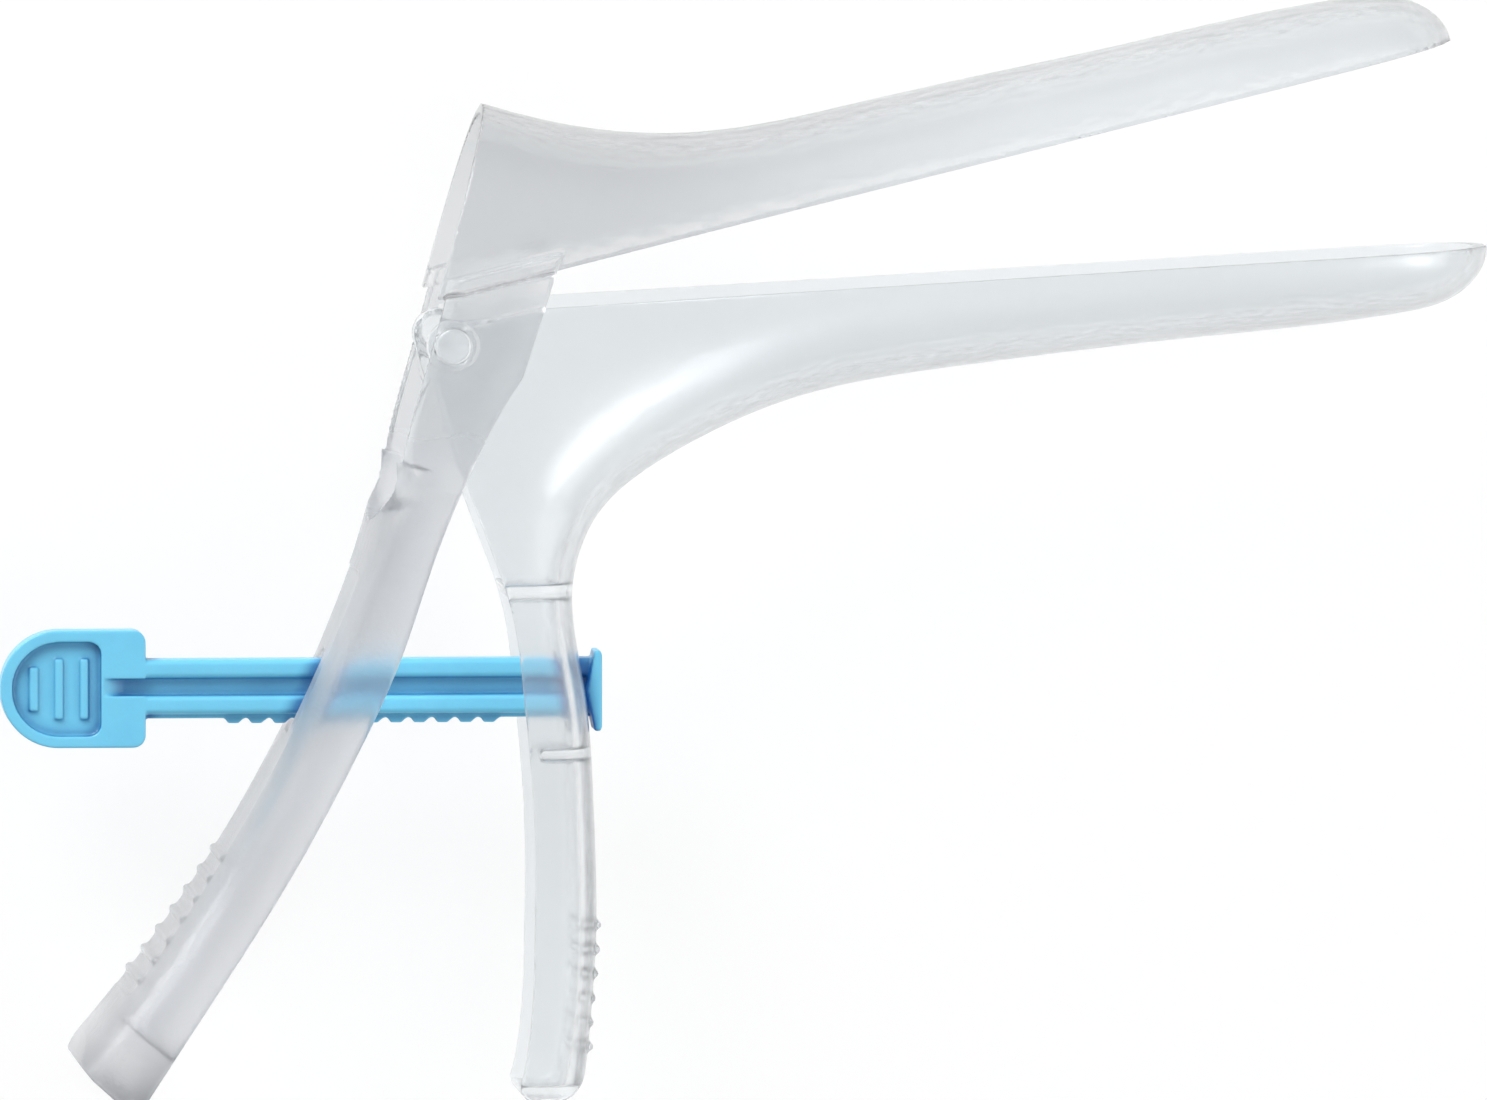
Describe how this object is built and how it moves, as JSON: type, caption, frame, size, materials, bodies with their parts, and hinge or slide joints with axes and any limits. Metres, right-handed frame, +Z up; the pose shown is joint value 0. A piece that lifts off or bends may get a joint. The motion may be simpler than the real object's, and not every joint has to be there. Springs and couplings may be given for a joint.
{
  "type": "bivalve speculum",
  "caption": "Clear plastic bivalve speculum with two hinged blades, two channel handles and a sky-blue ratchet locking bar with a thumb tab.",
  "frame": {"origin": "centre of the part's bounding box, on the surface that the part lies on", "axes": "+X towards the blade tips, +Y from the handles towards the upper blade, +Z up and along the hinge axis, with the part lying on one ear"},
  "size_m": [0.1774, 0.1312, 0.0342],
  "materials": {
    "clear_plastic": "gloss, lightly frosted inside",
    "blue_plastic": "satin"
  },
  "bodies": {
    "lower": {"lower_blade": "clear_plastic"},
    "upper": {"upper_blade": "clear_plastic"},
    "bar": {"locking_bar": "blue_plastic"}
  },
  "joints": [
    {"name": "blade_hinge", "type": "hinge", "parent": "lower", "child": "upper", "pos_m": [-0.03564, 0.02503, 0.0171], "axis": [0, 0, 1], "range_deg": [-11, 27]},
    {"name": "bar_swivel", "type": "hinge", "parent": "lower", "child": "bar", "pos_m": [-0.01899, -0.01677, 0.0171], "axis": [0, 0, 1], "range_deg": [-5.6, 13.3]}
  ],
  "couplings": [
    {"joint": "bar_swivel", "follows": "blade_hinge", "ratio": 0.48}
  ]
}
